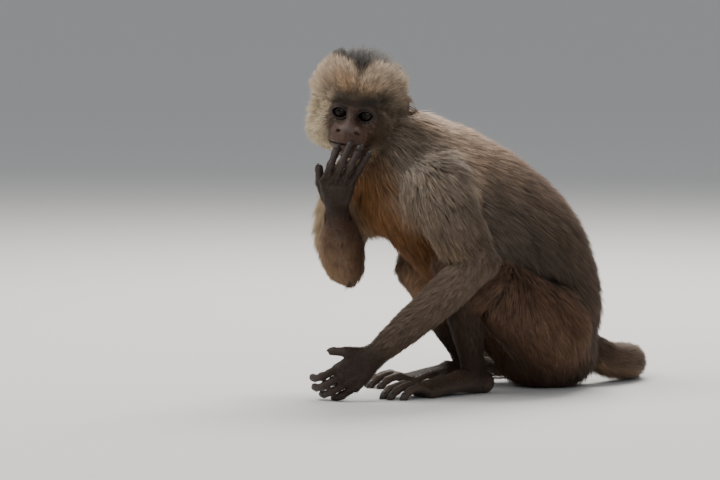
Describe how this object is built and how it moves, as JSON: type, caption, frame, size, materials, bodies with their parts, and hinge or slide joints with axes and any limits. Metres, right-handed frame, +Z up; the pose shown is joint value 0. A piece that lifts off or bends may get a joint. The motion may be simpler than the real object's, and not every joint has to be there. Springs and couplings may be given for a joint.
{
  "type": "capuchin monkey",
  "caption": "Life-size still model of a capuchin monkey sitting on a flat floor, head turned to its left, right hand at its mouth, left hand down in front.",
  "frame": {"origin": "middle of the bounding box's base, on the floor the animal sits on", "axes": "-Y the way the body faces, +X the animal's left, +Z up"},
  "size_m": [0.2494, 0.371, 0.3088],
  "materials": {
    "fur_brown": "matte fur",
    "fur_pale": "matte fur",
    "fur_dark": "matte fur",
    "skin": "satin",
    "eye": "wet gloss"
  },
  "bodies": {
    "root": {"ear_l": "fur_pale", "ear_r": "fur_pale", "eye_l": "eye", "eye_r": "eye", "foot_l": "skin", "foot_r": "skin", "forearm_l": "fur_dark", "forearm_r": "fur_dark", "hand_l": "skin", "hand_r": "skin", "head": "fur_pale", "neck": "fur_pale", "shin_l": "fur_dark", "shin_r": "fur_dark", "tail_1": "fur_brown", "tail_2": "fur_brown", "tail_3": "fur_brown", "tail_4": "fur_brown", "tail_5": "fur_brown", "thigh_l": "fur_dark", "thigh_r": "fur_dark", "trunk": "fur_brown", "upper_arm_l": "fur_brown", "upper_arm_r": "fur_brown"}
  },
  "joints": []
}
